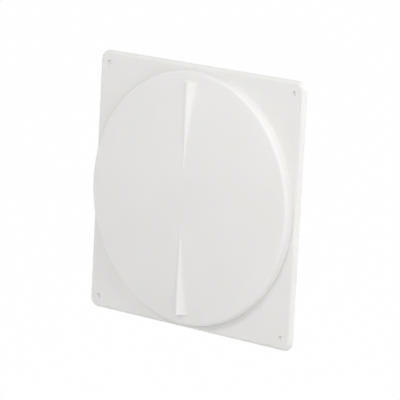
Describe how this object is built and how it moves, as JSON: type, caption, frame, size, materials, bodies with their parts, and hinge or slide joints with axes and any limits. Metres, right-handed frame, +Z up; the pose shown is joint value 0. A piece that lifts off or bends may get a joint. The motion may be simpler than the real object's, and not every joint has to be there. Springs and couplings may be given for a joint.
{
  "type": "ventilation disc valve",
  "caption": "Wall ventilation valve: a square screw-on plate with a duct spigot and a domed round disc that is turned by its grip ridge and screws out to let air past its rim.",
  "frame": {"origin": "on the duct's axis, in the plane of the wall that the plate's back rests on, at the centre of the four wall screws", "axes": "+Y along the duct, away from the room and out of the spigot's free end; the disc faces the room at -Y; +Z up, along the grip ridge with the valve closed"},
  "size_m": [0.24, 0.069, 0.24],
  "materials": {
    "white_moulding": "satin",
    "white_sheet": "matte",
    "white_nylon": "matte",
    "natural_acetal": "satin",
    "black_nylon": "satin",
    "grey_sponge": "matte",
    "foam_pad": "matte",
    "galvanised_steel": "satin",
    "zinc_screw": "satin",
    "spring_steel": "satin",
    "aluminium_rivet": "satin"
  },
  "bodies": {
    "mount_frame": {"wall_plate": "white_moulding", "duct_spigot": "galvanised_steel", "spigot_rivets": "aluminium_rivet", "wall_gasket": "grey_sponge", "spindle_bridge": "white_nylon", "bridge_screws": "zinc_screw", "spindle_nut": "black_nylon", "nut_ring": "spring_steel", "tension_spring": "spring_steel"},
    "slip_washer": {"spring_seat": "spring_steel"},
    "disc": {"valve_disc": "white_moulding", "insulation_pad": "foam_pad", "insulation_cover": "white_sheet", "cover_screws": "zinc_screw", "disc_seal": "grey_sponge", "spindle": "natural_acetal", "spindle_screws": "zinc_screw", "stop_washer": "zinc_screw", "stop_clip": "spring_steel"}
  },
  "joints": [
    {"name": "disc_travel", "type": "slide", "parent": "mount_frame", "child": "slip_washer", "axis": [0, -1, 0], "range_m": [0, 0.018], "deforming": ["tension_spring"]},
    {"name": "disc_turn", "type": "hinge", "parent": "slip_washer", "child": "disc", "pos_m": [0, 0, 0], "axis": [0, -1, 0], "range_deg": [0, 1080]}
  ],
  "couplings": [
    {"joint": "disc_travel", "follows": "disc_turn", "m_per_rad": 0.00095492}
  ]
}
